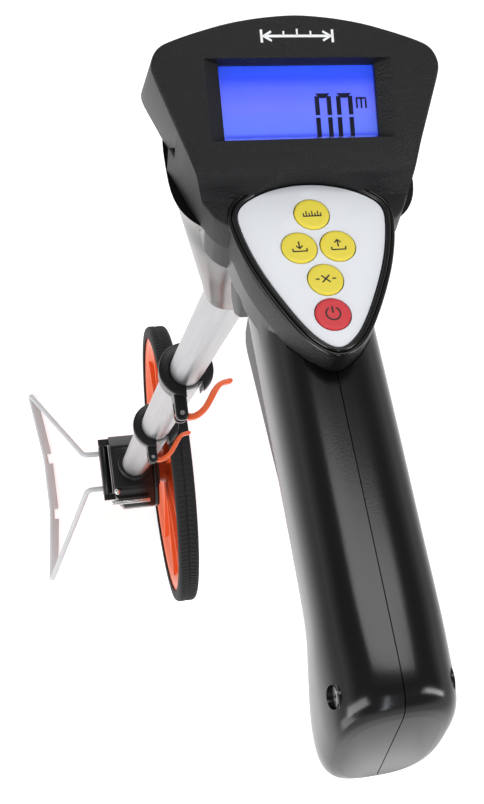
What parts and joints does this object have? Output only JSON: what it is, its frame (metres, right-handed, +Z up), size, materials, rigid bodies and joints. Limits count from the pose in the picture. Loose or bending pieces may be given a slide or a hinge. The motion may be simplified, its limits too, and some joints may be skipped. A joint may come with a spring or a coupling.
{
  "type": "measuring wheel",
  "caption": "Digital measuring wheel with a backlit readout head, pistol grip, telescopic pole with flip clamps, one metre road wheel and a folding wire stand.",
  "frame": {"origin": "centre of the footprint's bounding box, on the floor", "axes": "+X to the wheel side along the axle, +Y the direction of travel, +Z up along the pole"},
  "size_m": [0.1668, 0.3462, 1.257],
  "materials": {
    "cover_plastic": "fine spark texture, black",
    "window_clear": "clear polished",
    "lcd_blue": "backlit blue",
    "circuit_board": "solder mask",
    "overlay_white": "printed white film",
    "button_yellow": "printed yellow film",
    "button_red": "printed red film",
    "silicone_rubber": "soft moulded",
    "grip_plastic": "polished black",
    "screw_steel": "zinc plated",
    "matte_black_plastic": "moulded matte",
    "cell_jacket": "printed sleeve",
    "tube_aluminium": "satin anodised",
    "clamp_plastic": "moulded black",
    "orange_plastic": "moulded orange",
    "bush_plastic": "natural acetal",
    "hub_plastic": "moulded black",
    "bearing_steel": "ground",
    "axle_steel": "zinc plated",
    "tyre_rubber": "matte moulded rubber",
    "magnet_ferrite": "bonded ferrite",
    "stand_steel": "pale grey powder coat"
  },
  "bodies": {
    "base": {"lower_tube": "tube_aluminium", "lower_collar": "clamp_plastic", "lower_clamp_pin": "screw_steel", "hub_box": "hub_plastic", "hub_cover": "hub_plastic", "bearing_carrier": "bearing_steel", "bearing_inner": "bearing_steel", "bearing_outer": "bearing_steel", "sensor_board": "circuit_board", "stand_pin": "screw_steel", "rest_rod": "stand_steel", "ball_screw": "screw_steel"},
    "wheel": {"wheel_disc": "orange_plastic", "tyre": "tyre_rubber", "magnet_ring": "magnet_ferrite", "axle_bolt": "axle_steel", "axle_nut": "axle_steel"},
    "stand": {"stand_yoke": "hub_plastic", "stand_frame": "stand_steel"},
    "lower_lock": {"lower_clamp_lever": "orange_plastic"},
    "middle": {"middle_tube": "tube_aluminium", "middle_bush": "bush_plastic", "middle_collar": "clamp_plastic", "middle_clamp_pin": "screw_steel"},
    "middle_lock": {"middle_clamp_lever": "orange_plastic"},
    "head": {"upper_tube": "tube_aluminium", "upper_bush": "bush_plastic", "left_shell": "grip_plastic", "right_shell": "grip_plastic", "front_cover": "cover_plastic", "display_window": "window_clear", "lcd_module": "lcd_blue", "main_board": "circuit_board", "keypad_overlay": "overlay_white", "switch_mat": "silicone_rubber", "keypad_board": "circuit_board", "screw_upper": "screw_steel", "screw_lower": "screw_steel", "lever_pin": "screw_steel", "finger_guard": "matte_black_plastic", "lever_spring": "screw_steel", "micro_switch": "matte_black_plastic", "battery_left": "cell_jacket", "battery_right": "cell_jacket", "battery_contact": "screw_steel"},
    "lever": {"squeeze_lever": "matte_black_plastic"},
    "unit_key": {"button_unit": "button_yellow"},
    "store_key": {"button_store": "button_yellow"},
    "recall_key": {"button_recall": "button_yellow"},
    "clear_key": {"button_clear": "button_yellow"},
    "power_key": {"button_power": "button_red"}
  },
  "joints": [
    {"name": "wheel_spin", "type": "hinge", "parent": "base", "child": "wheel", "pos_m": [0.06653, 0.0139, 0.15915], "axis": [1, 0, 0], "continuous": true},
    {"name": "stand_fold", "type": "hinge", "parent": "base", "child": "stand", "pos_m": [-0.00597, 0.0139, 0.17], "axis": [0, 1, 0], "range_deg": [0, 110]},
    {"name": "lower_lock_flip", "type": "hinge", "parent": "base", "child": "lower_lock", "pos_m": [0.02003, -0.0116, 0.548], "axis": [0, 0, -1], "range_deg": [0, 110]},
    {"name": "middle_slide", "type": "slide", "parent": "base", "child": "middle", "axis": [0, 0, -1], "range_m": [0, 0.24]},
    {"name": "middle_lock_flip", "type": "hinge", "parent": "middle", "child": "middle_lock", "pos_m": [0.02003, -0.0116, 0.822], "axis": [0, 0, -1], "range_deg": [0, 110]},
    {"name": "upper_slide", "type": "slide", "parent": "middle", "child": "head", "axis": [0, 0, -1], "range_m": [0, 0.175]},
    {"name": "lever_squeeze", "type": "hinge", "parent": "head", "child": "lever", "pos_m": [0.02503, -0.1014, 1.21266], "axis": [1, 0, 0], "range_deg": [0, 5], "stiffness_Nm_per_rad": 1.5, "springref_deg": -6.88},
    {"name": "unit_press", "type": "slide", "parent": "head", "child": "unit_key", "axis": [0, -0.342, -0.9397], "range_m": [0, 0.0006], "stiffness_N_per_m": 900, "springref_m": -0.0006},
    {"name": "store_press", "type": "slide", "parent": "head", "child": "store_key", "axis": [0, -0.342, -0.9397], "range_m": [0, 0.0006], "stiffness_N_per_m": 900, "springref_m": -0.0006},
    {"name": "recall_press", "type": "slide", "parent": "head", "child": "recall_key", "axis": [0, -0.342, -0.9397], "range_m": [0, 0.0006], "stiffness_N_per_m": 900, "springref_m": -0.0006},
    {"name": "clear_press", "type": "slide", "parent": "head", "child": "clear_key", "axis": [0, -0.342, -0.9397], "range_m": [0, 0.0006], "stiffness_N_per_m": 900, "springref_m": -0.0006},
    {"name": "power_press", "type": "slide", "parent": "head", "child": "power_key", "axis": [0, -0.342, -0.9397], "range_m": [0, 0.0006], "stiffness_N_per_m": 900, "springref_m": -0.0006}
  ]
}
